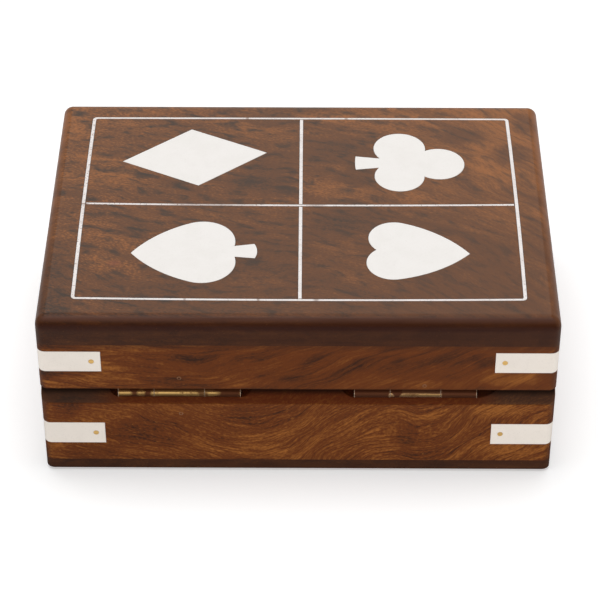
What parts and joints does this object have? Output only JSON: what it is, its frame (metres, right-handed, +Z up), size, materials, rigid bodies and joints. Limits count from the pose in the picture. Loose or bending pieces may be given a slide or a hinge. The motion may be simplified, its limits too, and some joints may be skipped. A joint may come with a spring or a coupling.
{
  "type": "hinged playing card box",
  "caption": "Flat wooden box for two decks side by side, with a hinged lid on butt hinges, white corner straps and card suits inlaid in the top.",
  "frame": {"origin": "centre of the underside of the closed box", "axes": "+X to the right along the long side, seen from the front; +Y towards the hinges; +Z up"},
  "size_m": [0.16, 0.115, 0.0621],
  "materials": {
    "panel_wood": "satin lacquer over dark open-grained rosewood",
    "frame_wood": "satin lacquer over warm figured rosewood",
    "white_inlay": "white resin, sanded flush and lacquered",
    "white_strap": "warm white resin or bone, sanded flush",
    "bright_brass": "sanded",
    "aged_brass": "dulled, with worn edges"
  },
  "bodies": {
    "base": {"bottom_panel": "panel_wood", "base_front_wall": "frame_wood", "base_rear_wall": "frame_wood", "base_left_wall": "frame_wood", "base_right_wall": "frame_wood", "card_divider": "frame_wood", "base_strap_front_left": "white_strap", "base_strap_front_right": "white_strap", "base_strap_rear_left": "white_strap", "base_strap_rear_right": "white_strap", "base_strap_pins": "bright_brass", "left_hinge_base_leaf": "aged_brass", "right_hinge_base_leaf": "aged_brass", "left_hinge_pin": "aged_brass", "right_hinge_pin": "aged_brass", "base_hinge_screws": "bright_brass"},
    "lid": {"lid_top_panel": "panel_wood", "lid_front_wall": "frame_wood", "lid_rear_wall": "frame_wood", "lid_left_wall": "frame_wood", "lid_right_wall": "frame_wood", "lid_strap_front_left": "white_strap", "lid_strap_front_right": "white_strap", "lid_strap_rear_left": "white_strap", "lid_strap_rear_right": "white_strap", "lid_strap_pins": "bright_brass", "border_front": "white_inlay", "border_rear": "white_inlay", "border_left": "white_inlay", "border_right": "white_inlay", "cross_long": "white_inlay", "cross_short_front": "white_inlay", "cross_short_rear": "white_inlay", "diamond_inlay": "white_inlay", "club_inlay": "white_inlay", "spade_inlay": "white_inlay", "heart_inlay": "white_inlay", "left_hinge_lid_leaf": "aged_brass", "right_hinge_lid_leaf": "aged_brass", "lid_hinge_screws": "bright_brass"}
  },
  "joints": [
    {"name": "lid_hinge", "type": "hinge", "parent": "base", "child": "lid", "pos_m": [0, 0.05515, 0.0321], "axis": [-1, 0, 0], "range_deg": [0, 105]}
  ]
}
